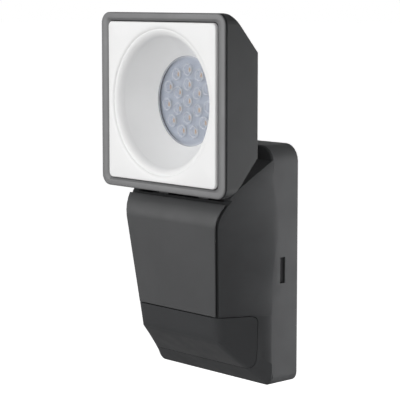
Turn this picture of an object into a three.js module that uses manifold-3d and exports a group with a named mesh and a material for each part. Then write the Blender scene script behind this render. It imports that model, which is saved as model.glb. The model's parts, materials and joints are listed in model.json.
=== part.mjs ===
// Wall-mounted outdoor LED floodlight with a tilting square head, an electronics column
// with a sensor and camera window, and a box that snaps onto a wall bracket.
// Millimetres, +Z up, front towards -Y. The origin is the centre of the bracket's wall face.

import * as THREE from 'three';
import { mergeVertices } from 'three/addons/utils/BufferGeometryUtils.js';
import Module from 'manifold-3d';

const wasm = await Module();
wasm.setup();

// ---------- driving dimensions ----------

const GAP = 0.3;                    // clearance between touching pieces
const WALL = 2.4;                   // moulded wall thickness

// head
const HEAD_W = 104.6;
const HEAD_H = 100;
const HEAD_R = 6.5;                 // corner radius seen from the front
const HEAD_FRONT = -61.4;           // bezel face
const HEAD_BACK = -36.4;
const HEAD_Z = 91.6;                // height of the head's centre
const HEAD_CHAMFER = { depth: 19.4, height: 21.8 };   // rear chamfers, top and bottom
const BEZEL_DEPTH = 4;
const BEZEL_FLANGE = 1.5;           // the part of its depth that shows beside the housing
const SIDE_FRAME = 1.9;             // the bezel's extra width at the sides
const PANEL_W = 90.4;               // white reflector plate
const PANEL_H = 89.6;
const PANEL_R = 2.8;
const PANEL_FRONT = -61.8;
const MOUTH_R = 41;                 // rim of the reflector
const CONE_R = 26;                  // bottom of the cone
const LENS_FRONT = -40.9;           // face of the lens plate
const LENS_R = 3.6;
const LED = { w: 2.8, h: 3.5, t: 0.7 };
const LED_RINGS = [[1, 0], [6, 9.4], [11, 17.8]];   // count and pitch radius, from the centre out

// tilt hinge
const AXIS_Y = -38;
const AXIS_Z = 48;
const BARREL_R = 6.5;
const LUG_HALF = 11.7;
const EAR_IN = 12.9;
const EAR_OUT = 21;
const TUBE_R = 4;
const TUBE_BORE = 2.5;
const HINGE_BORE = TUBE_R + 0.1;
const HINGE_SPAN = 30;              // longer than the hinge on each side, for boring it
const LEAD_R = 1.3;
const LEAD_X = 30;                  // the lead leaves the column here
const LEAD_HOLE_R = 3.6;
const LEAD_PORT = { x: 0.8, r: 2.2 };   // slanted hole from the hinge tube into the head
const YOKE_SCREWS = [-6, 6];
const YOKE = { x: [-26, 35], half: 7.5, t: 2.5 };

// box on the wall
const BOX_W = 95.2;
const BOX_H = 136;
const BOX_R = [9.5, 5.5];           // corner radii at the top and at the bottom
const BOX_FRONT = -20.4;
const BOX_BACK = -0.4;

// column in front of the box: the front leans back and narrows on the way down
const COL_TOP = 60;                 // where the sloping top meets the box
const COL_SHOULDER = [-55.3, 24];   // y and z where the top curve meets the front
const COL_CREASE = [-48.5, -41];    // y and z of the front's lower crease
const CREASE_SPREAD = 4;            // how far the crease's rounding reaches up the front
const COL_HALF = 38;                // half width of the front at z = 26
const LOWER_ROUNDING = 5;           // soft front corners below the seam
const LOWER_FLARE = 1.6;            // and how far they start outside the upper ones
const COL_NARROWING = 0.102;        // half width lost for each mm down
const COL_LEAN = 0.106;             // mm back for each mm down
const SEAM_Z = -27;                 // front panel above, sensor window below
const WINDOW_BACK = -27.8;          // the window wraps round the sides to here
const SKIN = 2;                     // thickness of window and panel
const SHELL = 4.4;                  // housing wall with the ledge that the skins sit on
const PANEL_TOP_Y = -49.5;          // the front panel ends on the shoulder here
const POCKET = { x: 36, yFront: -47, yBack: -29, z: 35 };   // hinge pocket in the column's top
const OPENING = { x: 39, z: [-56, 50] };   // rear opening of the column, closed by the cover
const SLOT = { y: [-14.1, -10.2], z: [-9.9, 4.9] };   // release slot in each side of the box

// wall bracket
const BRACKET_W = BOX_W - 2 * WALL - 1;
const BRACKET_H = BOX_H - 2 * WALL - 1;
const BRACKET_R = BOX_R.map((r) => r - WALL - 0.5);
const BRACKET_T = 3;                // thickness of its flat base
const WALL_SCREW = { width: 5, length: 11 };
const CABLE_HOLE = { z: -30, r: 12 };
const CABLE_R = 3.2;                // bore of the cable grommet
const TERMINAL = { x: [-16, 16], y: [-14.6, -3.3], z: [-6, 8] };
const TERMINAL_PITCH = 10;
const TERMINAL_SCREW_Z = 1;

// electronics, from the rear cover forwards
const COVER_Y = BOX_FRONT + WALL + 0.9;    // front face of the cover, on its seal
const COVER_T = 1.6;
const COVER = { x: 44, z: [-60, 54] };
const COVER_SCREWS = [[-41.4, -40], [41.4, -40], [-41.4, 30], [41.4, 30]];
const SUPPLY_HOLE = { x: -24, z: 30, r: 3.2 };
const SUPPLY_R = 1.4;
const BOARD_Y = -25;                       // front face of the driver board
const BOARD_T = 1.6;
const BOARD_SCREWS = [[-32, -48], [32, -48], [-32, 22], [32, 22]];
const SENSOR_BOARD_Y = -38.4;
const SENSOR_BOARD_T = 1.2;
const SENSOR_Z = -34.5;                    // height of the motion sensor and the camera
const PIR_X = -12;
const CAMERA_X = 11;
const CLEAR_R = 1.7;                       // clearance hole for an M3 screw

// inside the head
const BOARD_SEAT = -37.2;                  // floor of the LED board's seat in the housing
const HEAD_SCREWS = [[-41.4, 22.8], [41.4, 22.8], [-41.4, -22.8], [41.4, -22.8]];   // from the centre
const POST_R = 3;                          // reflector posts that the head screws hold
const COOLER = { x: 31, z: [78.5, 111.5], base: 1.6, fin: 6, thickness: 1.8, pitch: 6, each: 5 };

// ---------- geometry helpers ----------

// plain position-only geometry with shared vertices
function welded(geometry) {
  const plain = geometry.index ? geometry.toNonIndexed() : geometry.clone();
  plain.deleteAttribute('normal');
  plain.deleteAttribute('uv');
  return mergeVertices(plain, 1e-4);
}

// three.js geometry to a manifold-3d solid
function solid(geometry) {
  const g = welded(geometry);
  return new wasm.Manifold(new wasm.Mesh({
    numProp: 3,
    vertProperties: new Float32Array(g.attributes.position.array),
    triVerts: new Uint32Array(g.index.array),
  }));
}

// manifold-3d solid to a three.js geometry
function geometryOf(body) {
  const mesh = body.getMesh();
  const g = new THREE.BufferGeometry();
  g.setAttribute('position', new THREE.BufferAttribute(new Float32Array(mesh.vertProperties), 3));
  g.setIndex(new THREE.BufferAttribute(new Uint32Array(mesh.triVerts), 1));
  return g;
}

function union(...bodies) {
  return bodies.reduce((a, b) => a.add(b));
}

function cut(body, ...tools) {
  return tools.reduce((a, b) => a.subtract(b), body);
}

// box between two opposite corners, given in any order
function block(a, b) {
  const g = new THREE.BoxGeometry(...a.map((v, i) => Math.abs(v - b[i])));
  g.translate(...a.map((v, i) => (v + b[i]) / 2));
  return solid(g);
}

const AXES = {
  x: new THREE.Vector3(1, 0, 0),
  y: new THREE.Vector3(0, 1, 0),
  z: new THREE.Vector3(0, 0, 1),
};

// turn a geometry built along +Y so that it points along a direction
function aim(geometry, direction) {
  const turn = new THREE.Quaternion().setFromUnitVectors(AXES.y, direction.clone().normalize());
  return geometry.applyQuaternion(turn);
}

// cylinder or cone from one point to another
function rod(from, to, radius, sides = 24, endRadius = radius) {
  const a = new THREE.Vector3(...from);
  const b = new THREE.Vector3(...to);
  const g = new THREE.CylinderGeometry(endRadius, radius, a.distanceTo(b), sides);
  aim(g, b.clone().sub(a));
  const middle = a.add(b).multiplyScalar(0.5);
  g.translate(middle.x, middle.y, middle.z);
  return solid(g);
}

// turned piece: closed profile of [radius, distance along the axis], about `axis` through `at`
function turned(profile, axis, at, sides = 24) {
  const points = [...profile, profile[0]].map(([r, d]) => new THREE.Vector2(r, d));
  const g = new THREE.LatheGeometry(points, sides);
  aim(g, AXES[axis]);
  g.translate(...at);
  const body = solid(g);
  if (body.volume() > 0) return body;
  const flipped = welded(g);
  flipped.index.array.reverse();
  return solid(flipped);
}

// stitch loops of equal length into one closed solid; a ring joins its last loop to its first
function stitched(loops, ring = false) {
  const n = loops[0].length;
  const positions = loops.flat(2);
  const index = [];
  const rows = ring ? loops.length : loops.length - 1;
  for (let i = 0; i < rows; i++) {
    for (let j = 0; j < n; j++) {
      const a = i * n + j;
      const b = i * n + (j + 1) % n;
      const c = ((i + 1) % loops.length) * n + (j + 1) % n;
      const d = ((i + 1) % loops.length) * n + j;
      index.push(a, b, c, a, c, d);
    }
  }
  if (!ring) {
    const last = (loops.length - 1) * n;
    for (let j = 1; j < n - 1; j++) {
      index.push(0, j + 1, j);
      index.push(last, last + j, last + j + 1);
    }
  }
  const g = new THREE.BufferGeometry();
  g.setAttribute('position', new THREE.BufferAttribute(new Float32Array(positions), 3));
  g.setIndex(index);
  const body = solid(g);
  if (body.volume() > 0) return body;
  const turnedOver = g.clone();
  turnedOver.setIndex(index.reverse());
  return solid(turnedOver);
}

// outline of a rounded rectangle in the XZ plane at depth y, moved inwards by an inset;
// the radius is a number, or a pair for the top and the bottom corners
function roundRect(width, height, radius, centreZ, y, inset, steps) {
  const [top, bottom = top] = [radius].flat();
  const loop = [];
  const corners = [[1, 1], [-1, 1], [-1, -1], [1, -1]];
  corners.forEach(([sx, sz], k) => {
    const r = Math.max((sz > 0 ? top : bottom) - inset, 0.4);
    for (let i = 0; i <= steps; i++) {
      const angle = (k + i / steps) * Math.PI / 2;
      loop.push([
        sx * (width / 2 - inset - r) + r * Math.cos(angle),
        y,
        centreZ + sz * (height / 2 - inset - r) + r * Math.sin(angle),
      ]);
    }
  });
  return loop;
}

// rounded slab whose outline is inset by a different amount at each depth: [[y, inset], ...]
function slab(width, height, radius, centreZ, layers, steps = 6) {
  return stitched(layers.map(
    ([y, inset]) => roundRect(width, height, radius, centreZ, y, inset, steps)));
}

// rounded frame: closed profile of [inset from the outer edge, y, further inset at the sides]
function frameRing(width, height, radius, centreZ, profile, steps = 6) {
  return stitched(profile.map(
    ([inset, y, more = 0]) => roundRect(
      width - 2 * more, height, radius, centreZ, y, inset, steps)), true);
}

// outline in (y, z) carried along X, as far to the left as to the right
function prismX(outline, half) {
  const shape = new THREE.Shape(outline.map(([y, z]) => new THREE.Vector2(y, z)));
  const g = new THREE.ExtrudeGeometry(shape, { depth: 2 * half, bevelEnabled: false });
  g.applyMatrix4(new THREE.Matrix4().makeBasis(AXES.y, AXES.z, AXES.x));
  g.translate(-half, 0, 0);
  return solid(g);
}

// rod along Y at a place on the front view, from one depth to another
function rodY([x, z], from, to, radius, sides = 12) {
  return rod([x, from, z], [x, to, z], radius, sides);
}

// rod on the hinge axis
function rodOnAxis(from, to, radius, sides) {
  return rod([from, AXIS_Y, AXIS_Z], [to, AXIS_Y, AXIS_Z], radius, sides);
}

function hingeBore() {
  return rodOnAxis(-HINGE_SPAN, HINGE_SPAN, HINGE_BORE, 24);
}

// tube along a list of points
function lead(points, radius) {
  const through = points.map((p) => new THREE.Vector3(...p));
  const curve = new THREE.CatmullRomCurve3(through, false, 'centripetal');
  const circle = new THREE.Shape();
  circle.absarc(0, 0, radius, 0, 2 * Math.PI);
  const steps = Math.max(6, Math.round(curve.getLength() / (5 * radius)));
  return solid(new THREE.ExtrudeGeometry(
    circle, { steps, extrudePath: curve, curveSegments: 8, bevelEnabled: false }));
}

// pan-head screw: shank from `at` along `direction`, head on the other side
function screw(at, direction, shankR, shankLength, headR, headHeight) {
  const d = new THREE.Vector3(...direction);
  const point = (s) => new THREE.Vector3(...at).addScaledVector(d, s).toArray();
  const body = union(
    rod(point(-0.01), point(shankLength), shankR, 12),
    rod(point(0), point(-headHeight), headR, 18, headR * 0.8),
  );
  const slotAxis = Math.abs(d.z) > 0.5 ? [headR * 2, 0.7, 1.2] : [headR * 2, 1.2, 0.7];
  const top = new THREE.Vector3(...point(-headHeight));
  const slot = new THREE.BoxGeometry(...slotAxis);
  slot.translate(top.x, top.y, top.z);
  return cut(body, solid(slot));
}

// ---------- the assembly ----------

const floodlight = new THREE.Group();
const wallUnit = new THREE.Group();
const head = new THREE.Group();
floodlight.add(wallUnit, head);

const FINISH = {
  anthracite: [0x35363a, 0.55, 0.1],
  panel: [0x46474b, 0.4, 0.1],
  window: [0x2c2d31, 0.25, 0],
  bezel: [0x86878a, 0.42, 0.5],
  white: [0xf2f2f0, 0.35, 0],
  lens: [0xaab0bb, 0.15, 0],
  board: [0xe8e9e6, 0.5, 0],
  green: [0x1f5a35, 0.5, 0],
  rubber: [0x17181a, 0.85, 0],
  steel: [0xb9bcc0, 0.35, 0.9],
  brass: [0xb79a55, 0.35, 0.9],
  nylon: [0x1d1e21, 0.6, 0],
  light: [0xd8d8d2, 0.6, 0],
  copper: [0xa86a3c, 0.4, 0.8],
  glass: [0x20242c, 0.05, 0],
};

function add(group, name, body, finish) {
  const [color, roughness, metalness] = FINISH[finish];
  const material = new THREE.MeshStandardMaterial({ color, roughness, metalness });
  const mesh = new THREE.Mesh(geometryOf(body), material);
  mesh.name = name;
  group.add(mesh);
}

// ---------- column outline ----------

function colHalf(z) {
  return COL_HALF + COL_NARROWING * (z - 26);
}

function colFront(z) {
  return COL_SHOULDER[0] + COL_LEAN * (COL_SHOULDER[1] - z);
}

// half width of the column's side face at a depth and height
function colSide(y, z) {
  const t = (y - colFront(z)) / (BOX_FRONT - colFront(z));
  return colHalf(z) + t * (BOX_W / 2 - colHalf(z));
}

// the column's side view, from the box over the shoulder, down the front and back along the chamfer
function colPath() {
  const curve = new THREE.CubicBezierCurve(
    new THREE.Vector2(BOX_FRONT, COL_TOP),
    new THREE.Vector2(BOX_FRONT - 17, COL_TOP - 10.6),
    new THREE.Vector2(COL_SHOULDER[0] - 0.6, COL_SHOULDER[1] + 14),
    new THREE.Vector2(...COL_SHOULDER),
  );
  const top = curve.getPoints(12).map((p) => [p.x, p.y]);
  const [cy, cz] = COL_CREASE;
  const chamfer = (-BOX_H / 2 - cz) / (BOX_FRONT - cy);
  const crease = new THREE.QuadraticBezierCurve(
    new THREE.Vector2(cy - CREASE_SPREAD * COL_LEAN, cz + CREASE_SPREAD),
    new THREE.Vector2(cy, cz),
    new THREE.Vector2(cy + 0.7 * CREASE_SPREAD, cz + 0.7 * CREASE_SPREAD * chamfer),
  ).getPoints(4).map((p) => [p.x, p.y]);
  return [...top, ...crease, [BOX_FRONT, -BOX_H / 2]];
}

// move a path inwards (to its left when walked from the top down) by a distance
function inwards(path, distance) {
  return path.map(([y, z], i) => {
    const [y0, z0] = path[Math.max(i - 1, 0)];
    const [y1, z1] = path[Math.min(i + 1, path.length - 1)];
    const length = Math.hypot(y1 - y0, z1 - z0);
    return [y - (z1 - z0) / length * distance, z + (y1 - y0) / length * distance];
  });
}

// distance from a point to a path
function distanceTo(path, [y, z]) {
  const point = new THREE.Vector3(y, z, 0);
  const closest = new THREE.Vector3();
  const gaps = path.slice(1).map(([y1, z1], i) => {
    const [y0, z0] = path[i];
    const segment = new THREE.Line3(new THREE.Vector3(y0, z0, 0), new THREE.Vector3(y1, z1, 0));
    segment.closestPointToPoint(point, true, closest);
    return closest.distanceTo(point);
  });
  return Math.min(...gaps);
}

// depth of the column's front at a height, down to the crease and along the chamfer below it
function frontAt(z, inset) {
  const [cy, cz] = COL_CREASE;
  if (z > cz) return colFront(z) + inset;
  const down = (cz - z) / (cz + BOX_H / 2);
  const tilt = Math.hypot(BOX_FRONT - cy, cz + BOX_H / 2) / (cz + BOX_H / 2);
  return Math.min(cy + down * (BOX_FRONT - cy) + inset * tilt, BOX_FRONT - 0.3);
}

// right half of the column's horizontal section: [x, y] from the back to the front
function columnSection(z, inset, backY) {
  const lower = z < SEAM_Z;
  const r = BOX_R[z > 0 ? 0 : 1];
  const over = Math.max(0, Math.abs(z) - (BOX_H / 2 - r));
  const rounding = r - Math.sqrt(Math.max(r ** 2 - over ** 2, 0));
  const back = new THREE.Vector2(BOX_W / 2 - rounding - inset, BOX_FRONT);
  const sideFront = new THREE.Vector2(
    colHalf(z) + (lower ? LOWER_FLARE : 0) - inset, colFront(z) + inset);
  const y = frontAt(z, inset);
  const t = (y - sideFront.y) / (back.y - sideFront.y);
  const corner = sideFront.clone().lerp(back, t);
  const soft = Math.min(lower ? LOWER_ROUNDING : 1, 0.6 * corner.distanceTo(back));
  const edge = new THREE.QuadraticBezierCurve(
    corner.clone().lerp(back, soft / corner.distanceTo(back)),
    corner,
    new THREE.Vector2(corner.x - soft, y),
  ).getPoints(4);
  return [[back.x, backY], [back.x, back.y], ...edge.map((p) => [p.x, p.y])];
}

// solid column inset by a distance; its back edge reaches into the box
function column(inset) {
  const whole = colPath();
  const path = inwards(whole, inset).filter((p) => distanceTo(whole, p) > inset * 0.97 - 1e-6);
  const backY = BOX_FRONT + 6;
  const outline = [[backY, path[0][1]], ...path, [backY, path[path.length - 1][1]]];
  const step = 0.02;                // the section changes at once across the seam
  const heights = [
    -BOX_H / 2 + 0.4, -66.5, -64.5, -61, -55, -48, COL_CREASE[1], -34,
    SEAM_Z - step, SEAM_Z + step, -14, 0, 13, 26, 35, 45, 52, 60];
  const sections = heights.map((z) => {
    const right = columnSection(z, inset, backY);
    const left = [...right].reverse().map(([x, y]) => [-x, y]);
    return [...right, ...left].map(([x, y]) => [x, y, z]);
  });
  return stitched(sections).intersect(prismX(outline, BOX_W));
}

// ---------- wall side ----------

// slotted hole through the bracket's base, its long way along X or Z
function slotHole(x, z, alongZ) {
  const r = WALL_SCREW.width / 2;
  const reach = WALL_SCREW.length / 2 - r;
  const dx = alongZ ? 0 : reach;
  const dz = alongZ ? reach : 0;
  return union(
    rodY([x - dx, z - dz], 1, -6, r, 16),
    rodY([x + dx, z + dz], 1, -6, r, 16),
    block([x - (dx || r), -6, z - (dz || r)], [x + (dx || r), 1, z + (dz || r)]),
  );
}

// flat base with a stiffening rim and a latch tongue on each side
function wallBracket() {
  const base = slab(
    BRACKET_W, BRACKET_H, BRACKET_R, 0, [[0, 0.3], [-0.3, 0], [-BRACKET_T, 0]], 4);
  const rimBack = -BRACKET_T + 0.1;
  const rim = frameRing(
    BRACKET_W, BRACKET_H, BRACKET_R, 0, [[2.6, rimBack], [2.6, -6], [4.4, -6], [4.4, rimBack]], 4);
  let body = union(base, rim);
  for (const side of [-1, 1]) {
    const outer = side * (BOX_W / 2 - WALL - 0.8);
    const inner = outer - side * 1.8;
    const low = SLOT.z[0] + 0.6;
    const high = SLOT.z[1] - 0.6;
    const tongue = block([inner, -15, low], [outer, rimBack, high]);
    const hook = block(
      [outer - side, SLOT.y[0] + 0.5, low], [outer + side * 2, SLOT.y[1] - 0.5, high]);
    const relief = block([side * 37.5, -7, low - 2.7], [side * 43.5, -BRACKET_T, high + 2.7]);
    body = union(cut(union(body, tongue, hook), relief), tongue);
  }
  return cut(
    body,
    rodY([0, CABLE_HOLE.z], 1, -7, CABLE_HOLE.r, 32),
    slotHole(0, 48, true),
    slotHole(0, -52, true),
    slotHole(30, 14, false),
    slotHole(-30, 14, false),
  );
}

function cableGrommet() {
  const r = CABLE_HOLE.r;
  const front = -BRACKET_T - GAP;
  return turned(
    [[CABLE_R, -GAP], [r - GAP, -GAP], [r - GAP, front], [r + 1.8, front], [r + 1.8, front - 1.3],
      [9, front - 1.3], [5, -8], [CABLE_R, -8]],
    'y', [0, 0, CABLE_HOLE.z], 32);
}

function terminalBlock() {
  const { x, y, z } = TERMINAL;
  let body = block([x[0], y[0], z[0]], [x[1], y[1], z[1]]);
  for (let i = -1; i <= 1; i++) {
    const at = TERMINAL_PITCH * i;
    body = cut(
      body,
      rod([at, -8.5, z[0] - 1], [at, -8.5, 5], 2, 14),
      rodY([at, TERMINAL_SCREW_Z], y[0] - 1, -8, 2.3, 14),
    );
  }
  return body;
}

function terminalScrew(i) {
  return screw([TERMINAL_PITCH * i, TERMINAL.y[0] + 2, TERMINAL_SCREW_Z], [0, 1, 0], 1.2, 3.6, 2, 1.4);
}

// ---------- housing, front panel and window ----------

// side-view region that the sensor window covers, grown by a clearance
function windowZone(grow) {
  const top = SEAM_Z - GAP + grow;
  const back = WINDOW_BACK - GAP + grow;
  const corner = new THREE.QuadraticBezierCurve(
    new THREE.Vector2(back - 4, top),
    new THREE.Vector2(back, top),
    new THREE.Vector2(back, top - 4),
  ).getPoints(4).map((p) => [p.x, p.y]);
  const lower = new THREE.QuadraticBezierCurve(
    new THREE.Vector2(back, -49 - grow),
    new THREE.Vector2(back, -58 - grow),
    new THREE.Vector2(back - 6, -58 - grow),
  ).getPoints(5).map((p) => [p.x, p.y]);
  return prismX([[-70, top], ...corner, ...lower, [back - 6, -75], [-70, -75]], 60);
}

// the stretch of the side view that the front panel follows
function panelPath() {
  const seam = [colFront(SEAM_Z + GAP), SEAM_Z + GAP];
  const upper = colPath().filter(([y, z]) => z > SEAM_Z && y < PANEL_TOP_Y);
  return [...upper, seam];
}

// curved plate whose edges are undercut, so that a shadow gap shows beside it
function frontPanel() {
  const outer = panelPath();
  const inner = inwards(outer, 1.6);
  const middle = inwards(outer, 0.5);
  const loops = outer.map(([y, z], i) => {
    const half = colSide(y, z);
    const row = [
      [half - 0.5, y, z],
      [half - 0.2, ...middle[i]],
      [half - 1.7, ...inner[i]],
    ];
    const mirrored = [...row].reverse().map(([x, a, b]) => [-x, a, b]);
    return [...row, ...mirrored];
  });
  return stitched(loops);
}

// space for the front panel, right across the column
function panelRecess() {
  const path = colPath().filter(([y, z]) => z > SEAM_Z && y < PANEL_TOP_Y + 2.5);
  path.push([colFront(SEAM_Z), SEAM_Z]);
  const outside = inwards(path, -2);
  outside[outside.length - 1] = [colFront(SEAM_Z) - 2, SEAM_Z];
  const inside = inwards(path, SKIN + 0.1);
  inside[inside.length - 1] = [colFront(SEAM_Z) + SKIN + 0.1, SEAM_Z];
  return prismX([...outside, ...inside.reverse()], 60);
}

function pocketBlock(grow) {
  return block(
    [-POCKET.x - grow, POCKET.yFront - grow, POCKET.z - grow],
    [POCKET.x + grow, POCKET.yBack + grow, COL_TOP + 10]);
}

const COLUMN = column(0);

function sensorWindow() {
  return cut(COLUMN.intersect(windowZone(0)), column(SKIN));
}

function bodyHousing() {
  const box = slab(BOX_W, BOX_H, BOX_R, 0, [[BOX_FRONT, 0.8], [BOX_FRONT + 0.8, 0], [BOX_BACK, 0]]);
  const boxSpace = slab(
    BOX_W - 2 * WALL, BOX_H - 2 * WALL, BOX_R.map((r) => r - WALL), 0,
    [[BOX_FRONT + WALL, 0], [1, 0]]);
  const windowSeat = cut(windowZone(GAP), column(SKIN + GAP));
  const inside = cut(column(SHELL), pocketBlock(WALL)).intersect(
    block([-OPENING.x, -70, OPENING.z[0]], [OPENING.x, 0, OPENING.z[1]]));
  const throat = block(
    [-OPENING.x, BOX_FRONT - 4, OPENING.z[0]], [OPENING.x, -10, OPENING.z[1] - 2]);
  const sensorPort = block([-22, -60, -40], [22, -38, -29.5]);
  let body = cut(
    union(box, COLUMN), boxSpace, windowSeat, panelRecess(), inside,
    cut(throat, pocketBlock(WALL)), pocketBlock(0), sensorPort);
  for (const side of [-1, 1]) {
    const wall = side * (BOX_W / 2 - WALL - 1);
    body = cut(body, block(
      [wall, SLOT.y[0], SLOT.z[0]], [wall + side * (WALL + 2), SLOT.y[1], SLOT.z[1]]));
  }
  for (const place of COVER_SCREWS) {
    body = cut(body, rodY(place, -10, -25, 1.5));
  }
  return cut(body, ...pocketHoles(POCKET.z + 1, POCKET.z - 5));
}

// holes through the pocket's floor, for the yoke's screws and the lead
function pocketHoles(from, to) {
  return [
    ...YOKE_SCREWS.map((x) => rod([x, AXIS_Y, from], [x, AXIS_Y, to], CLEAR_R, 12)),
    rod([LEAD_X, AXIS_Y, from], [LEAD_X, AXIS_Y, to], LEAD_HOLE_R, 20),
  ];
}

// ---------- electronics ----------

// rear cover with four stand-offs that carry the driver board
function electronicsCover() {
  let body = block([-COVER.x, COVER_Y, COVER.z[0]], [COVER.x, COVER_Y + COVER_T, COVER.z[1]]);
  for (const place of BOARD_SCREWS) {
    body = union(body, rodY(place, COVER_Y + 0.5, BOARD_Y + BOARD_T + GAP, 3.2, 16));
    body = cut(body, rodY(place, COVER_Y - 0.5, BOARD_Y, 1.4));
  }
  for (const place of COVER_SCREWS) {
    body = cut(body, rodY(place, COVER_Y - 1, COVER_Y + 3, CLEAR_R));
  }
  return cut(
    body, rodY([SUPPLY_HOLE.x, SUPPLY_HOLE.z], COVER_Y - 1, COVER_Y + 3, SUPPLY_HOLE.r, 16));
}

function coverSeal() {
  const front = BOX_FRONT + WALL + GAP / 2;
  let body = cut(
    block([-COVER.x, front, COVER.z[0]], [COVER.x, COVER_Y - GAP / 2, COVER.z[1]]),
    block(
      [-OPENING.x - GAP, front - 1, OPENING.z[0] - GAP],
      [OPENING.x + GAP, COVER_Y + 1, OPENING.z[1] + GAP]));
  for (const place of COVER_SCREWS) {
    body = cut(body, rodY(place, front - 1, COVER_Y + 1, 1.9));
  }
  return body;
}

function driverBoard() {
  let body = block([-36, BOARD_Y, -53], [36, BOARD_Y + BOARD_T, 28]);
  for (const place of BOARD_SCREWS) {
    body = cut(body, rodY(place, BOARD_Y - 1, BOARD_Y + 3, 1.6));
  }
  return body;
}

function driverTransformer() {
  const y = BOARD_Y - GAP;
  const core = block([-9, y - 15, -6], [11, y, 16]);
  const coil = block([-6, y - 17, -9], [8, y - 2, 19]);
  return union(core, coil);
}

function driverCapacitor() {
  return rodY([-27, 2], BOARD_Y - GAP, BOARD_Y - GAP - 17, 6, 24);
}

function driverChoke() {
  const y = BOARD_Y - GAP;
  return turned([[3, y - 7], [8, y - 7], [8, y], [3, y]], 'y', [25, 0, 4], 24);
}

function sensorHeader() {
  return block([-10, SENSOR_BOARD_Y + SENSOR_BOARD_T + GAP, -36], [10, BOARD_Y - GAP, -31]);
}

function sensorBoard() {
  return block([-27, SENSOR_BOARD_Y, -43], [27, SENSOR_BOARD_Y + SENSOR_BOARD_T, -23]);
}

function pirSensor() {
  const y = SENSOR_BOARD_Y - GAP;
  return turned([[0, y], [4.6, y], [4.6, y - 0.6], [4.1, y - 0.6], [4.1, y - 4], [0, y - 4]],
    'y', [PIR_X, 0, SENSOR_Z], 20);
}

function cameraBarrel() {
  const y = SENSOR_BOARD_Y - GAP;
  return turned(
    [[0, y], [6.5, y], [6.5, y - 2], [4.8, y - 2], [4.8, y - 6], [3.4, y - 6], [3.4, y - 4.5],
      [0, y - 4.5]],
    'y', [CAMERA_X, 0, SENSOR_Z], 24);
}

function cameraLens() {
  const y = SENSOR_BOARD_Y - GAP - 4.5 - GAP / 2;
  return turned([[0, y], [3.2, y], [3.2, y - 0.7], [2.2, y - 1.3], [0, y - 1.6]],
    'y', [CAMERA_X, 0, SENSOR_Z], 20);
}

// supply lead from the terminal block through the cover to the driver board
function supplyLead() {
  const { x, z } = SUPPLY_HOLE;
  return lead([[-10, -8.5, -12], [-14, -8.5, -14], [-22, -9, -6], [x, -10, 14], [x, -13, z - 2],
    [x, -17, z], [x, BOARD_Y + 2.2, z]], SUPPLY_R);
}

// ---------- hinge ----------

// base plate with two ears; the head's lug turns between them
function hingeYoke() {
  const floor = POCKET.z;
  let body = block(
    [YOKE.x[0], AXIS_Y - YOKE.half, floor + GAP],
    [YOKE.x[1], AXIS_Y + YOKE.half, floor + GAP + YOKE.t]);
  for (const side of [-1, 1]) {
    const inner = side * EAR_IN;
    const outer = side * EAR_OUT;
    body = union(
      body,
      rodOnAxis(Math.min(inner, outer), Math.max(inner, outer), BARREL_R, 32),
      block([inner, AXIS_Y - BARREL_R, floor + 1], [outer, AXIS_Y + BARREL_R, AXIS_Z]));
  }
  return cut(body, hingeBore(), ...pocketHoles(floor, floor + 5));
}

function neckGrommet() {
  const z = POCKET.z;
  const bore = LEAD_R + 0.2;
  const neck = LEAD_HOLE_R - GAP;
  const top = z + YOKE.t + 2 * GAP;
  return turned(
    [[bore, z - 2.2], [neck, z - 2.2], [neck, top], [4.6, top], [4.6, top + 1], [bore, top + 1]],
    'z', [LEAD_X, AXIS_Y, 0], 20);
}

function frictionWasher(side) {
  return cut(
    rodOnAxis(side * (LUG_HALF + GAP), side * (EAR_IN - GAP), BARREL_R - GAP, 32),
    hingeBore());
}

// hollow threaded tube that the head turns on; the lead runs inside it
function hingeTube() {
  const flange = BARREL_R - 0.4;
  const flangeIn = -EAR_OUT - GAP;
  const flangeOut = flangeIn - 2.1;
  const end = EAR_OUT + 4.4;
  const tube = turned([
    [TUBE_BORE, flangeOut], [flange, flangeOut], [flange, flangeIn], [TUBE_R, flangeIn],
    [TUBE_R, end], [TUBE_BORE, end]], 'x', [0, AXIS_Y, AXIS_Z], 24);
  return cut(tube, leadPort(11.3));
}

function hingeNut() {
  return cut(rodOnAxis(EAR_OUT + GAP, EAR_OUT + 3.3, BARREL_R - GAP, 6), hingeBore());
}

// place on the line that leaves the hinge axis square to the head's lower chamfer:
// u along that line, v across it; as [y, z]
function fromAxis(u, v = 0) {
  const length = Math.hypot(HEAD_CHAMFER.depth, HEAD_CHAMFER.height);
  const dy = HEAD_CHAMFER.depth / length;
  const dz = HEAD_CHAMFER.height / length;
  return [AXIS_Y + v * dy - u * dz, AXIS_Z + v * dz + u * dy];
}

function leadPort(length) {
  const { x, r } = LEAD_PORT;
  return rod([x, ...fromAxis(0)], [x, ...fromAxis(length)], r, 16);
}

// the lead meets its upper half at the mouth of the hinge tube, where tilting only twists it
function leadLower() {
  return lead([
    [12, BOARD_Y - 4, -20], [16, -34, -16], [26, AXIS_Y, 0], [LEAD_X, AXIS_Y, 16],
    [LEAD_X, AXIS_Y, 30], [LEAD_X, AXIS_Y, AXIS_Z - 6.5], [LEAD_X - 0.9, AXIS_Y, AXIS_Z - 1.8],
    [LEAD_X - 3.6, AXIS_Y, AXIS_Z]], LEAD_R);
}

function leadUpper() {
  const x = LEAD_PORT.x - 0.2;
  const out = [4.6, 9, 12.8].map((u) => [x, ...fromAxis(u)]);
  return lead([
    [25.4, AXIS_Y, AXIS_Z], [14, AXIS_Y, AXIS_Z], [4.6, AXIS_Y, AXIS_Z], [1.6, ...fromAxis(1.27)],
    ...out], LEAD_R);
}

// ---------- head ----------

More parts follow.
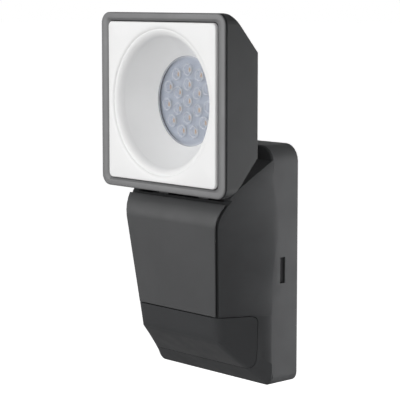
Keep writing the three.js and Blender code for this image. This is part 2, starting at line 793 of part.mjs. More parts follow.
// side view of the head housing: flat top and bottom, chamfers to the back
function headOutline(inset, front) {
  const half = HEAD_H / 2 - inset;
  const back = HEAD_BACK - inset;
  const depth = HEAD_CHAMFER.depth - 0.55 * inset;
  const height = HEAD_CHAMFER.height - 0.62 * inset;
  const up = [
    [front, HEAD_Z + half],
    [back - depth - 0.8, HEAD_Z + half],
    [back - depth + 0.6, HEAD_Z + half - 0.6],
    [back - 0.6, HEAD_Z + half - height + 0.6],
    [back, HEAD_Z + half - height - 0.8],
  ];
  const down = up.map(([y, z]) => [y, 2 * HEAD_Z - z]).reverse();
  return [...up, ...down];
}

function headPlace([x, z]) {
  return [x, HEAD_Z + z];
}

function headHousing() {
  const lip = HEAD_FRONT + BEZEL_FLANGE + GAP;
  const front = HEAD_FRONT + BEZEL_DEPTH + GAP;
  const shell = slab(
    HEAD_W, HEAD_H, HEAD_R, HEAD_Z, [[lip, 0], [HEAD_BACK - 0.5, 0], [HEAD_BACK, 0.5]],
  ).intersect(prismX(headOutline(0, lip - 1), 60));
  const bezelSeat = slab(
    HEAD_W - 2 * WALL, HEAD_H - 2 * WALL, HEAD_R - WALL, HEAD_Z, [[lip - 1, 0], [front, 0]]);
  const hollow = slab(
    HEAD_W - 2 * WALL, HEAD_H - 2 * WALL, HEAD_R - WALL, HEAD_Z, [[front + 2, 0], [0, 0]],
  ).intersect(prismX(headOutline(WALL, front - 4), 60));
  const mouth = slab(HEAD_W - 16, HEAD_H - 16, 3, HEAD_Z, [[front - 2, 0], [front + 3, 0]]);
  let body = union(cut(shell, bezelSeat, hollow, mouth), ...coolingFins());
  body = cut(body, rodY([0, HEAD_Z], -39.5, BOARD_SEAT, CONE_R + 1.4, 40));
  for (const place of HEAD_SCREWS.map(headPlace)) {
    body = cut(
      body,
      rodY(place, HEAD_BACK - 5, HEAD_BACK + 3, 1.8),
      rodY(place, front - 1, front + 4, POST_R + 0.4, 16));
  }
  // hinge lug, set square on the lower chamfer
  const webOutline = [[0, -6.2], [0, 6.2], [10.2, 6.2], [10.2, -6.2]].map(([u, v]) => fromAxis(u, v));
  const web = prismX(webOutline, LUG_HALF);
  body = union(body, web, rodOnAxis(-LUG_HALF, LUG_HALF, BARREL_R, 32));
  return cut(body, hingeBore(), leadPort(13));
}

// cooling block and fins behind the LED board
function coolingFins() {
  const { x, z, base, fin, thickness, pitch, each } = COOLER;
  const bodies = [block([-x, HEAD_BACK - 1, z[0]], [x, HEAD_BACK + base, z[1]])];
  for (let i = -each; i <= each; i++) {
    bodies.push(block(
      [pitch * i - thickness / 2, HEAD_BACK - 0.5, z[0]],
      [pitch * i + thickness / 2, HEAD_BACK + fin, z[1]]));
  }
  return bodies;
}

// frame round the white plate: a thin flange on the housing's edge and a skirt inside its wall
function headBezel() {
  const f = HEAD_FRONT;
  const back = f + BEZEL_DEPTH;
  const flange = f + BEZEL_FLANGE;
  const skirt = WALL + GAP;
  return frameRing(HEAD_W, HEAD_H, HEAD_R, HEAD_Z, [
    [skirt, back], [skirt, flange], [0, flange], [0, f + 1.1], [0.3, f + 0.4], [1.1, f],
    [3.1, f], [3.8, f + 0.3, 0.6], [4.9, f + 1.9, SIDE_FRAME], [4.9, back, SIDE_FRAME]]);
}

// seal behind the white plate, notched round the reflector's posts
function bezelSeal() {
  const front = PANEL_FRONT + 2 + GAP;
  const back = HEAD_FRONT + BEZEL_DEPTH;
  const ring = frameRing(HEAD_W, HEAD_H, HEAD_R, HEAD_Z, [
    [5.2, front, SIDE_FRAME], [8, front], [8, back], [5.2, back, SIDE_FRAME]]);
  const notches = HEAD_SCREWS.map(
    (place) => rodY(headPlace(place), back - 4, back + 1, POST_R + GAP, 16));
  return cut(ring, ...notches);
}

// white plate and cone in one piece, with a rounded rim round the mouth
function reflector() {
  const f = PANEL_FRONT;
  const plate = cut(
    slab(PANEL_W, PANEL_H, PANEL_R, HEAD_Z, [[f, 0.5], [f + 0.5, 0], [f + 2, 0]]),
    rodY([0, HEAD_Z], f - 1, f + 5, MOUTH_R + 2.4, 56));
  const seat = LENS_FRONT - GAP;
  const cone = turned([
    [MOUTH_R + 2.6, f + 2], [MOUTH_R + 2.6, f], [MOUTH_R + 1.2, f + 0.1], [MOUTH_R, f + 0.7],
    [MOUTH_R - 0.2, f + 1.1], [MOUTH_R - 1.8, f + 1.5], [MOUTH_R - 3.4, f + 3], [MOUTH_R - 4.2, f + 5],
    [CONE_R, seat], [CONE_R + 1.8, seat], [MOUTH_R - 2.4, f + 5], [MOUTH_R - 0.6, f + 2]],
  'y', [0, 0, HEAD_Z], 56);
  let body = union(plate, cone);
  for (const place of HEAD_SCREWS.map(headPlace)) {
    body = union(body, rodY(place, f + 1.5, HEAD_BACK - WALL - GAP, POST_R, 16));
    body = cut(body, rodY(place, f + 8, HEAD_BACK, 1.4));
  }
  return body;
}

// places of the LEDs: one in the middle and two rings round it, each ring starting at the top
function ledPlaces() {
  const places = [];
  for (const [count, radius] of LED_RINGS) {
    for (let i = 0; i < count; i++) {
      const angle = i / count * 2 * Math.PI;
      places.push([radius * Math.sin(angle), HEAD_Z + radius * Math.cos(angle)]);
    }
  }
  return places;
}

function lensPlate() {
  const f = LENS_FRONT;
  const lenses = ledPlaces().map(
    ([x, z]) => rod([x, f + 0.2, z], [x, f - 0.9, z], LENS_R, 12, LENS_R * 0.72));
  return union(rodY([0, HEAD_Z], f, f + 1, CONE_R - 0.2, 48), ...lenses);
}

function ledBoard() {
  const front = LENS_FRONT + 1 + GAP + LED.t;
  const packages = ledPlaces().map(([x, z]) => block(
    [x - LED.w / 2, front - LED.t, z - LED.h / 2], [x + LED.w / 2, front + 0.2, z + LED.h / 2]));
  return union(rodY([0, HEAD_Z], front, front + 1, CONE_R - 0.4, 48), ...packages);
}

function thermalPad() {
  return rodY([0, HEAD_Z], BOARD_SEAT - 0.7, BOARD_SEAT - GAP / 2, CONE_R - 2, 40);
}

// ---------- build ----------

add(wallUnit, 'wall_bracket', wallBracket(), 'nylon');
add(wallUnit, 'cable_grommet', cableGrommet(), 'rubber');
add(wallUnit, 'terminal_block', terminalBlock(), 'light');
for (let i = 1; i <= 3; i++) {
  add(wallUnit, `terminal_screw_${i}`, terminalScrew(i - 2), 'steel');
}
add(wallUnit, 'body_housing', bodyHousing(), 'anthracite');
add(wallUnit, 'front_panel', frontPanel(), 'panel');
add(wallUnit, 'sensor_window', sensorWindow(), 'window');
add(wallUnit, 'cover_seal', coverSeal(), 'rubber');
add(wallUnit, 'electronics_cover', electronicsCover(), 'nylon');
COVER_SCREWS.forEach(([x, z], i) => {
  const body = screw([x, COVER_Y + COVER_T + GAP / 2, z], [0, -1, 0], 1.3, 6, 2.6, 1.6);
  add(wallUnit, `cover_screw_${i + 1}`, body, 'steel');
});
add(wallUnit, 'driver_board', driverBoard(), 'green');
BOARD_SCREWS.forEach(([x, z], i) => {
  const body = screw([x, BOARD_Y - GAP / 2, z], [0, 1, 0], 1.2, 5, 2.4, 1.5);
  add(wallUnit, `board_screw_${i + 1}`, body, 'steel');
});
add(wallUnit, 'driver_transformer', driverTransformer(), 'copper');
add(wallUnit, 'driver_capacitor', driverCapacitor(), 'nylon');
add(wallUnit, 'driver_choke', driverChoke(), 'copper');
add(wallUnit, 'sensor_header', sensorHeader(), 'nylon');
add(wallUnit, 'sensor_board', sensorBoard(), 'green');
add(wallUnit, 'pir_sensor', pirSensor(), 'steel');
add(wallUnit, 'camera_barrel', cameraBarrel(), 'nylon');
add(wallUnit, 'camera_lens', cameraLens(), 'glass');
add(wallUnit, 'supply_lead', supplyLead(), 'rubber');
add(wallUnit, 'hinge_yoke', hingeYoke(), 'nylon');
YOKE_SCREWS.forEach((x, i) => {
  const body = screw([x, AXIS_Y, POCKET.z + YOKE.t + 1.5 * GAP], [0, 0, -1], 1.4, 7, 2.4, 1.4);
  add(wallUnit, `yoke_screw_${i + 1}`, body, 'steel');
});
add(wallUnit, 'neck_grommet', neckGrommet(), 'rubber');
add(wallUnit, 'friction_washer_1', frictionWasher(-1), 'steel');
add(wallUnit, 'friction_washer_2', frictionWasher(1), 'steel');
add(wallUnit, 'lead_lower', leadLower(), 'rubber');

add(head, 'head_housing', headHousing(), 'anthracite');
add(head, 'head_bezel', headBezel(), 'bezel');
add(head, 'bezel_seal', bezelSeal(), 'rubber');
add(head, 'reflector', reflector(), 'white');
add(head, 'lens_plate', lensPlate(), 'lens');
add(head, 'led_board', ledBoard(), 'board');
add(head, 'thermal_pad', thermalPad(), 'light');
HEAD_SCREWS.forEach(([x, z], i) => {
  const body = screw([x, HEAD_BACK + GAP / 2, HEAD_Z + z], [0, -1, 0], 1.3, 9, 2.8, 1.7);
  add(head, `head_screw_${i + 1}`, body, 'steel');
});
add(head, 'hinge_tube', hingeTube(), 'steel');
add(head, 'hinge_nut', hingeNut(), 'steel');
add(head, 'lead_upper', leadUpper(), 'rubber');

export default floodlight;
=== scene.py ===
"""Looks for the wall floodlight: refined shells, moulded and cast finishes, studio and camera."""
import json
import math

import bmesh
import bpy
from mathutils import Matrix, Vector


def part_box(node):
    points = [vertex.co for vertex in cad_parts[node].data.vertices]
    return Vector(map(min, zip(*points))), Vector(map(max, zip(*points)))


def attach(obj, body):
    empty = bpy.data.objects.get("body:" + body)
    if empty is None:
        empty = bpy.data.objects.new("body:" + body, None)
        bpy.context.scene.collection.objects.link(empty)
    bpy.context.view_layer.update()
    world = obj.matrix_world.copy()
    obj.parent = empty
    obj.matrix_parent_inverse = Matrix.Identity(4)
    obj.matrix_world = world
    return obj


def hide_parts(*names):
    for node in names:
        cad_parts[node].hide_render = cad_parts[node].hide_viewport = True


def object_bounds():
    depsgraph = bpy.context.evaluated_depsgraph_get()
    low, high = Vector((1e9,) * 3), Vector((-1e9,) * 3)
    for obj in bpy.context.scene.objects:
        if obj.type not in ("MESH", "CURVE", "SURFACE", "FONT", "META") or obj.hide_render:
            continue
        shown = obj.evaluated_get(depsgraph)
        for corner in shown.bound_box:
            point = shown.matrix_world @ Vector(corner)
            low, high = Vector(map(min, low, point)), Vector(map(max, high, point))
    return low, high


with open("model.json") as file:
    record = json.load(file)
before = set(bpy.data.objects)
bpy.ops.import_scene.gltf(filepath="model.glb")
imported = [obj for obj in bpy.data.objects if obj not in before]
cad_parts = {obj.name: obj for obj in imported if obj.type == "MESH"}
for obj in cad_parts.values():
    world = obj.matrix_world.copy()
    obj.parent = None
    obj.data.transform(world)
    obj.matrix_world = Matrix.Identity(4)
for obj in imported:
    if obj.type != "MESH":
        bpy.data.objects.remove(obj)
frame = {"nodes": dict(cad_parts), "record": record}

MM = 0.001
cad_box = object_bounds()
BODY_OF = {node: body for body, nodes in frame["record"]["behaviour"]["bodies"].items() for node in nodes}
SLOT_OF = {part["node"]: part["material_slot"] for part in frame["record"]["subparts"]}


# ---------- materials ----------

def new_material(name, color, roughness, metallic=0.0):
    """A plain material. Returns it with its node tree and its shader."""
    material = bpy.data.materials.new(name)
    material.use_nodes = True
    shader = material.node_tree.nodes["Principled BSDF"]
    shader.inputs["Base Color"].default_value = (*color, 1)
    shader.inputs["Roughness"].default_value = roughness
    shader.inputs["Metallic"].default_value = metallic
    return material, material.node_tree, shader


def noise(tree, scale, detail=3.0):
    """A noise texture in the object's own metres."""
    place = tree.nodes.new("ShaderNodeTexCoord")
    texture = tree.nodes.new("ShaderNodeTexNoise")
    texture.inputs["Scale"].default_value = scale
    texture.inputs["Detail"].default_value = detail
    tree.links.new(place.outputs["Object"], texture.inputs["Vector"])
    return texture.outputs["Fac"]


def spread(tree, value, low, high):
    """Maps a noise's middle range to low..high."""
    node = tree.nodes.new("ShaderNodeMapRange")
    node.inputs["From Min"].default_value = 0.3
    node.inputs["From Max"].default_value = 0.7
    node.inputs["To Min"].default_value = low
    node.inputs["To Max"].default_value = high
    tree.links.new(value, node.inputs["Value"])
    return node.outputs["Result"]


def vary_color(tree, shader, color, amount, scale):
    """Soft patches a little darker and lighter than the base colour."""
    ramp = tree.nodes.new("ShaderNodeValToRGB")
    ramp.color_ramp.elements[0].position = 0.35
    ramp.color_ramp.elements[1].position = 0.65
    ramp.color_ramp.elements[0].color = (*[c * (1 - amount) for c in color], 1)
    ramp.color_ramp.elements[1].color = (*[min(1, c * (1 + amount)) for c in color], 1)
    tree.links.new(noise(tree, scale), ramp.inputs["Fac"])
    tree.links.new(ramp.outputs["Color"], shader.inputs["Base Color"])


def add_bump(tree, shader, height, strength, distance):
    """Surface relief from a texture's value."""
    bump = tree.nodes.new("ShaderNodeBump")
    bump.inputs["Strength"].default_value = strength
    bump.inputs["Distance"].default_value = distance
    tree.links.new(height, bump.inputs["Height"])
    tree.links.new(bump.outputs["Normal"], shader.inputs["Normal"])


def finish(name, color, roughness, metallic=0.0, patches=0.06, grain=1600, bump=0.15,
           rough_spread=0.05, coat=0.0, specular=0.5):
    """Moulded, cast or plated finish: colour patches, uneven gloss and a fine surface grain."""
    material, tree, shader = new_material(name, color, roughness, metallic)
    vary_color(tree, shader, color, patches, 45)
    gloss = spread(tree, noise(tree, 120), roughness - rough_spread, roughness + rough_spread)
    tree.links.new(gloss, shader.inputs["Roughness"])
    add_bump(tree, shader, noise(tree, grain, 4), bump, 0.00006)
    shader.inputs["Specular IOR Level"].default_value = specular
    shader.inputs["Coat Weight"].default_value = coat
    shader.inputs["Coat Roughness"].default_value = 0.1
    return material


def turned_metal(name, color, roughness):
    """Plated metal with fine lathe lines."""
    material, tree, shader = new_material(name, color, roughness, 1.0)
    vary_color(tree, shader, color, 0.05, 90)
    place = tree.nodes.new("ShaderNodeTexCoord")
    wave = tree.nodes.new("ShaderNodeTexWave")
    wave.wave_type = "RINGS"
    wave.inputs["Scale"].default_value = 900
    wave.inputs["Distortion"].default_value = 1.5
    tree.links.new(place.outputs["Object"], wave.inputs["Vector"])
    add_bump(tree, shader, wave.outputs["Fac"], 0.08, 0.00003)
    return material


def circuit_board(name, color):
    """Solder mask over faint copper traces."""
    material, tree, shader = new_material(name, color, 0.35)
    place = tree.nodes.new("ShaderNodeTexCoord")
    brick = tree.nodes.new("ShaderNodeTexBrick")
    brick.inputs["Scale"].default_value = 160
    brick.inputs["Mortar Size"].default_value = 0.03
    brick.inputs["Color1"].default_value = (*color, 1)
    brick.inputs["Color2"].default_value = (*[c * 1.25 for c in color], 1)
    brick.inputs["Mortar"].default_value = (*[c * 0.6 for c in color], 1)
    tree.links.new(place.outputs["Object"], brick.inputs["Vector"])
    tree.links.new(brick.outputs["Color"], shader.inputs["Base Color"])
    add_bump(tree, shader, brick.outputs["Fac"], 0.1, 0.00005)
    return material


def clear_plastic(name, color, roughness, alpha):
    """Moulded clear plastic: mostly see-through, with a milky haze and soft highlights; on the lens rims the
    whiter haze is a painted highlight.
    """
    material, tree, shader = new_material(name, color, roughness)
    vary_color(tree, shader, color, 0.03, 200)
    gloss = spread(tree, noise(tree, 300), roughness * 0.7, roughness * 1.3)
    tree.links.new(gloss, shader.inputs["Roughness"])
    add_bump(tree, shader, noise(tree, 500), 0.02, 0.00005)
    shader.inputs["Alpha"].default_value = alpha
    return material


LOOKS = {
    "housing_plastic": finish("housing_plastic", (0.055, 0.056, 0.058), 0.6, bump=0.22, specular=0.08),
    "panel_plastic": finish("panel_plastic", (0.068, 0.069, 0.071), 0.42, patches=0.04, grain=2200,
                            bump=0.1, specular=0.3),
    "window_plastic": finish("window_plastic", (0.048, 0.049, 0.051), 0.42, patches=0.02, grain=1500,
                             bump=0.04, specular=0.1),
    "head_metal": finish("head_metal", (0.032, 0.033, 0.034), 0.5, grain=1300, bump=0.25,
                         specular=0.12),
    "bezel_metal": finish("bezel_metal", (0.178, 0.178, 0.181), 0.42, 0.1, patches=0.03, bump=0.08),
    "white_plastic": finish("white_plastic", (0.92, 0.92, 0.917), 0.4, patches=0.002, grain=700,
                            bump=0.006, rough_spread=0.02),
    "lens_plastic": clear_plastic("lens_plastic", (0.62, 0.66, 0.75), 0.15, 0.13),
    "led_board": finish("led_board", (0.41, 0.45, 0.53), 0.45, patches=0.03),
    "thermal_pad": finish("thermal_pad", (0.3, 0.3, 0.34), 0.7),
    "hinge_plastic": finish("hinge_plastic", (0.03, 0.03, 0.032), 0.5),
    "hinge_steel": turned_metal("hinge_steel", (0.6, 0.6, 0.61), 0.3),
    "screw_steel": turned_metal("screw_steel", (0.62, 0.62, 0.63), 0.28),
    "bracket_plastic": finish("bracket_plastic", (0.028, 0.028, 0.03), 0.55, bump=0.2),
    "rubber": finish("rubber", (0.014, 0.014, 0.015), 0.75, grain=900, bump=0.2),
    "lead_sheath": finish("lead_sheath", (0.02, 0.02, 0.022), 0.5),
    "terminal_plastic": finish("terminal_plastic", (0.62, 0.61, 0.55), 0.45),
    "circuit_board": circuit_board("circuit_board", (0.02, 0.10, 0.04)),
    "winding": finish("winding", (0.5, 0.24, 0.05), 0.4, grain=500, bump=0.3),
    "component_black": finish("component_black", (0.02, 0.02, 0.022), 0.4),
    "sensor_can": turned_metal("sensor_can", (0.66, 0.66, 0.67), 0.25),
    "camera_glass": finish("camera_glass", (0.01, 0.014, 0.03), 0.1, grain=200, bump=0.01, coat=1.0),
}
# whiter, less clear lens rims: a painted highlight standing in for light caught in the clear rims
LENS_RIM_HIGHLIGHT = clear_plastic("lens_rim_highlight", (0.8, 0.83, 0.9), 0.35, 0.42)
PHOSPHOR = finish("phosphor", (0.72, 0.36, 0.09), 0.5, patches=0.12)
LED_BODY = finish("led_body", (0.7, 0.68, 0.6), 0.4)


# ---------- mesh helpers ----------

def add_object(name, bm, *materials):
    """A piece from a finished bmesh, with one or more materials."""
    mesh = bpy.data.meshes.new(name)
    bmesh.ops.recalc_face_normals(bm, faces=bm.faces)
    bm.to_mesh(mesh)
    bm.free()
    for material in materials:
        mesh.materials.append(material)
    piece = bpy.data.objects.new(name, mesh)
    bpy.context.scene.collection.objects.link(piece)
    return piece


def smooth(piece, angle=35):
    """Smooth shading that stops at edges sharper than the angle."""
    piece.data.polygons.foreach_set("use_smooth", [True] * len(piece.data.polygons))
    piece.data.set_sharp_from_angle(angle=math.radians(angle))


def apply_modifiers(piece):
    """Puts the modifiers' result in the piece's own mesh."""
    graph = bpy.context.evaluated_depsgraph_get()
    mesh = bpy.data.meshes.new_from_object(piece.evaluated_get(graph))
    piece.modifiers.clear()
    piece.data = mesh


def stands_for(piece, *nodes):
    """The piece rides with and is shown in place of these CAD nodes."""
    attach(piece, BODY_OF[nodes[0]])
    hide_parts(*nodes)


def refine(node, radius):
    """The CAD node's shape with its coplanar triangles joined and its edges rounded."""
    bm = bmesh.new()
    bm.from_mesh(frame["nodes"][node].data)
    bmesh.ops.remove_doubles(bm, verts=bm.verts, dist=1e-6)
    bmesh.ops.dissolve_limit(bm, angle_limit=math.radians(0.08), verts=bm.verts, edges=bm.edges)
    piece = add_object(node + "_fine", bm, LOOKS[SLOT_OF[node]])
    bevel = piece.modifiers.new("edges", "BEVEL")
    bevel.width = radius * MM
    bevel.segments = 3
    bevel.limit_method = "ANGLE"
    bevel.angle_limit = math.radians(30)
    apply_modifiers(piece)
    smooth(piece)
    piece.modifiers.new("normals", "WEIGHTED_NORMAL").keep_sharp = True
    apply_modifiers(piece)
    stands_for(piece, node)
    return piece


def stitch(bm, loops, ring=False, caps=False):
    """Joins loops of equal length with quads. Returns the faces of each band."""
    rows = [[bm.verts.new(point) for point in loop] for loop in loops]
    count = len(rows[0])
    pairs = list(zip(rows, rows[1:]))
    if ring:
        pairs.append((rows[-1], rows[0]))
    bands = []
    for a, b in pairs:
        band = []
        for i in range(count):
            after = (i + 1) % count
            band.append(bm.faces.new((a[i], a[after], b[after], b[i])))
        bands.append(band)
    if caps:
        bm.faces.new(rows[0])
        bm.faces.new(rows[-1])
    return bands


def paint_bands(bands, slot):
    """Gives the faces of some bands another of the piece's materials."""
    for band in bands:
        for face in band:
            face.material_index = slot


# ---------- head geometry, placed by the frame's boxes ----------

bezel_low, bezel_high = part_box("head_bezel")
plate_low, plate_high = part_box("reflector")
lens_low, lens_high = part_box("lens_plate")
HEAD_CENTRE = (bezel_low + bezel_high) / 2
HEAD_W = bezel_high.x - bezel_low.x
HEAD_H = bezel_high.z - bezel_low.z
HEAD_R = 6.5 * MM
CORNER_SPREAD = math.radians(7)         # where the outlines get more points, either side of a corner
LENS_R = 25.8                           # radius of the lens plate, mm
BOARD_R = 25.6                          # radius of the LED board, mm


def round_rect_reach(angle, width, height, radius):
    """Distance from the centre to a rounded rectangle's edge in a direction, by halving."""
    across, up = abs(math.cos(angle)), abs(math.sin(angle))
    low, high = 0.0, width + height
    for _ in range(40):
        reach = (low + high) / 2
        x = reach * across - (width / 2 - radius)
        z = reach * up - (height / 2 - radius)
        outside = math.hypot(max(x, 0), max(z, 0)) + min(max(x, z), 0) > radius
        low, high = (low, reach) if outside else (reach, high)
    return low


def polar_angles(width, height, count=144, dense=22):
    """Even directions, with more of them where the rectangle's corners are."""
    angles = {round(i / count * 2 * math.pi, 6) for i in range(count)}
    corner = math.atan2(height, width)
    for middle in (corner, math.pi - corner, math.pi + corner, 2 * math.pi - corner):
        for i in range(dense + 1):
            angles.add(round(middle + CORNER_SPREAD * (2 * i / dense - 1), 6))
    kept = []
    for a in sorted(angles):
        if not kept or a - kept[-1] > 0.002:
            kept.append(a)
    return kept


ANGLES = polar_angles(HEAD_W, HEAD_H)


def rect_loop(width, height, radius, y):
    """Points of a rounded rectangle about the head's centre."""
    reach = [round_rect_reach(a, width, height, radius) for a in ANGLES]
    return [(r * math.cos(a), y, HEAD_CENTRE.z + r * math.sin(a)) for a, r in zip(ANGLES, reach)]


def circle_loop(radius, y):
    """Points of a circle about the head's centre, in the same directions."""
    return [(radius * math.cos(a), y, HEAD_CENTRE.z + radius * math.sin(a)) for a in ANGLES]


def arc_points(start, corner, end, steps):
    """Points of a quadratic curve between two profile points, without its first point."""
    points = []
    for i in range(1, steps + 1):
        t = i / steps
        points.append(tuple(
            (1 - t) ** 2 * a + 2 * t * (1 - t) * c + t * t * b for a, c, b in zip(start, corner, end)))
    return points


BAND_END, SLOPE_END = 2.9, 4.6          # bezel: where its flat band and its slope end, mm from the edge
SIDE_FRAME = 1.9                        # the slope's extra width at the left and right, mm
INNER_R = 2.9                           # least corner radius of the bezel's outlines, mm


def head_bezel():
    """Satin grey frame: rounded outer edge, flat band, then a slope down into the shadow gap."""
    front = bezel_low.y / MM
    back = bezel_high.y / MM
    skirt, flange = 2.7, front + 1.5
    inner = SLOPE_END + 0.25
    # the profile's points are (mm in from the outer edge, y)
    profile = [(skirt, back), (skirt, flange), (0.25, flange), (0, flange - 0.2)]
    side_bands = len(profile) + 1
    profile += arc_points((0, front + 1.15), (0, front), (1.1, front), 6)
    profile += [(BAND_END, front)]
    profile += arc_points((BAND_END, front), (3.4, front), (3.8, front + 0.35), 3)
    profile += [(4.2, front + 0.7), (SLOPE_END, front + 1.2)]
    profile += arc_points((SLOPE_END, front + 1.2), (inner, front + 1.5), (inner, front + 2.3), 3)
    profile += [(inner, back)]
    loops = []
    for inset, y in profile:
        more = SIDE_FRAME * min(1, max(0, (inset - BAND_END) / (SLOPE_END - BAND_END)))
        loops.append(rect_loop(HEAD_W - 2 * (inset + more) * MM, HEAD_H - 2 * inset * MM,
                               max(HEAD_R - inset * MM, INNER_R * MM), y * MM))
    bm = bmesh.new()
    bands = stitch(bm, loops, ring=True)
    paint_bands(bands[:side_bands] + bands[-2:], 1)
    piece = add_object("bezel", bm, LOOKS["bezel_metal"], LOOKS["head_metal"])
    smooth(piece, 40)
    stands_for(piece, "head_bezel")


RIM = 41.0                              # radius of the lip where the white plate rolls into the cone, mm
PLATE_T = 2.0                           # thickness of the white plate, mm
PLATE_R = 2.8                           # its corner radius, mm


def reflector():
    """White plate that flows over a rounded rim into the cone."""
    width = (plate_high.x - plate_low.x) / MM
    height = (plate_high.z - plate_low.z) / MM
    front = plate_low.y / MM
    seat = lens_low.y / MM + 0.85       # just short of the lens plate's flange
    # each rounded outline is (mm in from the plate's edge, corner radius, mm behind its face)
    loops = [rect_loop((width - 2 * inset) * MM, (height - 2 * inset) * MM, radius * MM, (front + drop) * MM)
             for inset, radius, drop in [
                 (1, PLATE_R - 0.8, PLATE_T), (0, PLATE_R, PLATE_T), (0, PLATE_R, 0.7),
                 (0.08, PLATE_R - 0.08, 0.35), (0.3, PLATE_R - 0.3, 0.1), (0.7, PLATE_R - 0.7, 0)]]
    # the plate rolls over to a fine lip at the rim, then a gentle band leads into the cone;
    # these points are (mm out from the rim, mm behind the plate's face)
    face = [(2.6, 0), (2.0, 0.03), (1.4, 0.12), (0.8, 0.3), (0.35, 0.58), (0.05, 0.95), (-0.2, 1.0),
            (-0.45, 0.9), (-0.75, 0.98), *arc_points((-0.75, 0.98), (-3.4, 1.7), (-4.3, 5.6), 10)]
    behind = [(-2.4, 5.6), (-0.4, 3.4), (1.6, 2.2), (3, PLATE_T)]
    cone_foot = [(LENS_R + 0.2, seat - 0.3), (LENS_R - 0.1, seat), (LENS_R + 2, seat)]
    circles = [(RIM + out, front + drop) for out, drop in face]
    circles += cone_foot
    circles += [(RIM + out, front + drop) for out, drop in behind]
    loops += [circle_loop(radius * MM, y * MM) for radius, y in circles]
    bm = bmesh.new()
    stitch(bm, loops, ring=True)
    piece = add_object("reflector_white", bm, LOOKS["white_plastic"])
    smooth(piece, 50)
    stands_for(piece, "reflector")


LED_RINGS = [(1, 0.0), (6, 9.4), (11, 17.8)]     # count and pitch radius in mm, from the centre out
DISC_STEPS = 96                                  # points round the lens plate and the LED board


def led_places():
    """Centre of each LED, ring by ring."""
    for count, radius in LED_RINGS:
        for i in range(count):
            angle = i / count * 2 * math.pi
            yield radius * math.sin(angle) * MM, HEAD_CENTRE.z + radius * math.cos(angle) * MM


def revolve(bm, profile, x, z, steps=36):
    """Profile of (radius, y) in mm turned about a line along Y, with both ends closed. Returns its bands."""
    turns = [2 * math.pi * i / steps for i in range(steps)]
    loops = [[(x + r * MM * math.cos(a), y * MM, z + r * MM * math.sin(a)) for a in turns]
             for r, y in profile]
    return stitch(bm, loops, caps=True)


def lens_plate():
    """Clear moulded disc with a lens in a rim over each LED; the rims' whiteness is a painted highlight."""
    back = lens_high.y / MM
    face = back - 1.0
    bm = bmesh.new()
    flange = [(LENS_R, back), (LENS_R, face + 0.2), (LENS_R - 0.2, face), (LENS_R - 1.2, face)]
    paint_bands(revolve(bm, flange, 0, HEAD_CENTRE.z, DISC_STEPS), 1)
    rim = [(3.75, face - 0.05), (3.6, face - 0.55), (3.42, face - 0.8), (3.15, face - 0.84),
           (2.9, face - 0.6), (2.75, face - 0.3)]
    dome = [(2.4, face - 0.42), (1.9, face - 0.66), (1.3, face - 0.82), (0.7, face - 0.88),
            (0.2, face - 0.9)]
    for x, z in led_places():
        # the rim bands take the whiter material, a painted highlight of light caught in the clear rims
        paint_bands(revolve(bm, rim + dome, x, z)[:len(rim) - 1], 1)
    piece = add_object("lens_array", bm, LOOKS["lens_plastic"], LENS_RIM_HIGHLIGHT)
    smooth(piece, 50)
    stands_for(piece, "lens_plate")


def led_board():
    """Grey board with an LED package under each lens: pale body with an amber phosphor window."""
    low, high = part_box("led_board")
    front = low.y / MM + 0.7            # the board's own face, behind the faces of its packages
    edge = [(BOARD_R, high.y / MM), (BOARD_R, front + 0.1), (BOARD_R - 0.1, front)]
    bm = bmesh.new()
    revolve(bm, edge, 0, HEAD_CENTRE.z, DISC_STEPS)
    board = add_object("led_board_disc", bm, LOOKS["led_board"])
    smooth(board)
    stands_for(board, "led_board")
    # half width, half height, and y of the near and the far end, in mm from the board's face
    for name, look, half_w, half_h, near, far in (
            ("led_packages", LED_BODY, 1.4, 1.75, -0.5, 0.0),
            ("led_phosphor", PHOSPHOR, 0.9, 1.1, -0.58, -0.45)):
        bm = bmesh.new()
        for x, z in led_places():
            loops = []
            for inset, depth in ((0.0, far), (0.0, near + 0.1), (0.12, near)):
                a, b, y = (half_w - inset) * MM, (half_h - inset) * MM, (front + depth) * MM
                loops.append([(x + a, y, z + b), (x - a, y, z + b),
                              (x - a, y, z - b), (x + a, y, z - b)])
            stitch(bm, loops, caps=True)
        piece = add_object(name, bm, look)
        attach(piece, BODY_OF["led_board"])


# ---------- build the pieces ----------

head_bezel()
reflector()
lens_plate()
led_board()

EDGE_RADII = {                          # mm
    "head_housing": 0.5, "body_housing": 0.3, "front_panel": 0.2, "sensor_window": 0.2,
    "wall_bracket": 0.25, "hinge_yoke": 0.3, "electronics_cover": 0.25,
}
PANEL_SPREAD = 1.006                    # widens the panel until its seam against the column is a fine line
for node, radius in EDGE_RADII.items():
    piece = refine(node, radius)
    if node == "front_panel":
        piece.data.transform(Matrix.Diagonal((PANEL_SPREAD, 1, 1, 1)))

# the other nodes show as the CAD made them; the ones replaced above are hidden
for node, piece in frame["nodes"].items():
    if piece.hide_render:
        continue
    piece.data.materials.clear()
    piece.data.materials.append(LOOKS[SLOT_OF[node]])
    smooth(piece)


# ---------- studio and camera ----------

LIGHTS = {
    "key_softbox": dict(place=(-0.45, -0.87, 0.18), size=0.7, height=0.7, power=4.2),
    "low_front": dict(place=(0.25, -0.95, -0.12), size=0.5, height=0.5, power=1.0),
    "right_softbox": dict(place=(1.3, -0.3, 0.15), size=0.9, height=0.9, power=2.2),
    "rear_right_card": dict(place=(0.155, 0.33, -0.02), size=0.1, height=0.3, power=2.5),
}
OVERHEAD = 0.15                         # strength of the broad light from above
AMBIENT = {"horizon": 1.0, "zenith": 0.1}
FLOOR_GREY = (0.4, 0.4, 0.4)            # the floor as the object's light sees it
FLOOR_WHITE = (0.92, 0.92, 0.92, 1)     # and as the camera sees it
FLOOR_GLOW = 0.6
FLOOR_DROP = 0.12                       # metres from the object's lowest point down to the floor
CAMERA_PLACE = (0.671, -0.6428, 0.1512)
CAMERA_YAW, CAMERA_PITCH = math.radians(47.674), math.radians(6.61)


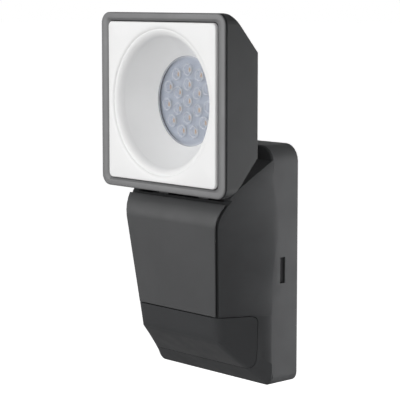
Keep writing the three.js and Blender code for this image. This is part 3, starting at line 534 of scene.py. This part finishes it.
def area_light(name, place, target, size, height, power):
    """Rectangular softbox aimed at a point, out of the camera's sight."""
    data = bpy.data.lights.new(name, "AREA")
    data.shape = "RECTANGLE"
    data.size, data.size_y = size, height
    data.energy = power
    lamp = bpy.data.objects.new(name, data)
    lamp.location = place
    lamp.rotation_euler = (target - Vector(place)).to_track_quat("-Z", "Y").to_euler()
    lamp.visible_camera = False
    bpy.context.scene.collection.objects.link(lamp)


def overhead_light():
    """Broad soft light from above."""
    data = bpy.data.lights.new("overhead", "SUN")
    data.energy = OVERHEAD
    data.angle = math.radians(70)
    bpy.context.scene.collection.objects.link(bpy.data.objects.new("overhead", data))


def split_by_camera(tree, others, camera, output):
    """Shows one shader to the camera and another to all other rays."""
    rays = tree.nodes.new("ShaderNodeLightPath")
    choice = tree.nodes.new("ShaderNodeMixShader")
    tree.links.new(rays.outputs["Is Camera Ray"], choice.inputs["Fac"])
    tree.links.new(others, choice.inputs[1])
    tree.links.new(camera, choice.inputs[2])
    tree.links.new(choice.outputs["Shader"], tree.nodes[output].inputs["Surface"])


def studio_world():
    """White to the camera. As a light it is bright at the horizon and dim overhead."""
    world = bpy.data.worlds.new("studio")
    bpy.context.scene.world = world
    world.use_nodes = True
    tree = world.node_tree
    backdrop = tree.nodes["Background"]
    backdrop.inputs["Color"].default_value = (1, 1, 1, 1)
    backdrop.inputs["Strength"].default_value = 1.0
    ambient = tree.nodes.new("ShaderNodeBackground")
    ambient.inputs["Color"].default_value = (1, 1, 1, 1)
    direction = tree.nodes.new("ShaderNodeTexCoord")
    axes = tree.nodes.new("ShaderNodeSeparateXYZ")
    fade = tree.nodes.new("ShaderNodeMapRange")
    fade.inputs["To Min"].default_value = AMBIENT["horizon"]
    fade.inputs["To Max"].default_value = AMBIENT["zenith"]
    tree.links.new(direction.outputs["Generated"], axes.inputs["Vector"])
    tree.links.new(axes.outputs["Z"], fade.inputs["Value"])
    tree.links.new(fade.outputs["Result"], ambient.inputs["Strength"])
    split_by_camera(tree, ambient.outputs["Background"], backdrop.outputs["Background"], "World Output")


def floor_paint():
    """Pale to the camera, mid grey to the object, so that its undersides stay dark."""
    material, tree, shader = new_material("floor_paint", FLOOR_GREY, 0.8)
    vary_color(tree, shader, FLOOR_GREY, 0.01, 3)
    shader.inputs["Specular IOR Level"].default_value = 0.1
    white = tree.nodes.new("ShaderNodeBsdfDiffuse")
    white.inputs["Color"].default_value = FLOOR_WHITE
    glow = tree.nodes.new("ShaderNodeEmission")
    glow.inputs["Strength"].default_value = FLOOR_GLOW
    bright = tree.nodes.new("ShaderNodeAddShader")
    tree.links.new(white.outputs["BSDF"], bright.inputs[0])
    tree.links.new(glow.outputs["Emission"], bright.inputs[1])
    split_by_camera(tree, shader.outputs["BSDF"], bright.outputs["Shader"], "Material Output")
    return material


def studio_camera():
    """The photo's view: a long lens at the object's front right, a little higher than the head."""
    data = bpy.data.cameras.new("camera")
    data.lens = 143.6
    data.shift_y = -0.05
    data.clip_start, data.clip_end = 0.01, 20
    camera = bpy.data.objects.new("camera", data)
    camera.location = CAMERA_PLACE
    camera.rotation_euler = (math.pi / 2 - CAMERA_PITCH, 0, CAMERA_YAW)
    bpy.context.scene.collection.objects.link(camera)
    bpy.context.scene.camera = camera
    bpy.context.scene.view_settings.view_transform = "Standard"


for name, lamp in LIGHTS.items():
    area_light(name, target=(cad_box[0] + cad_box[1]) / 2, **lamp)
overhead_light()
studio_world()

bm = bmesh.new()
bmesh.ops.create_grid(bm, x_segments=8, y_segments=8, size=30.0)
floor = add_object("floor", bm, floor_paint())
floor.location.z = cad_box[0].z - FLOOR_DROP
studio_camera()
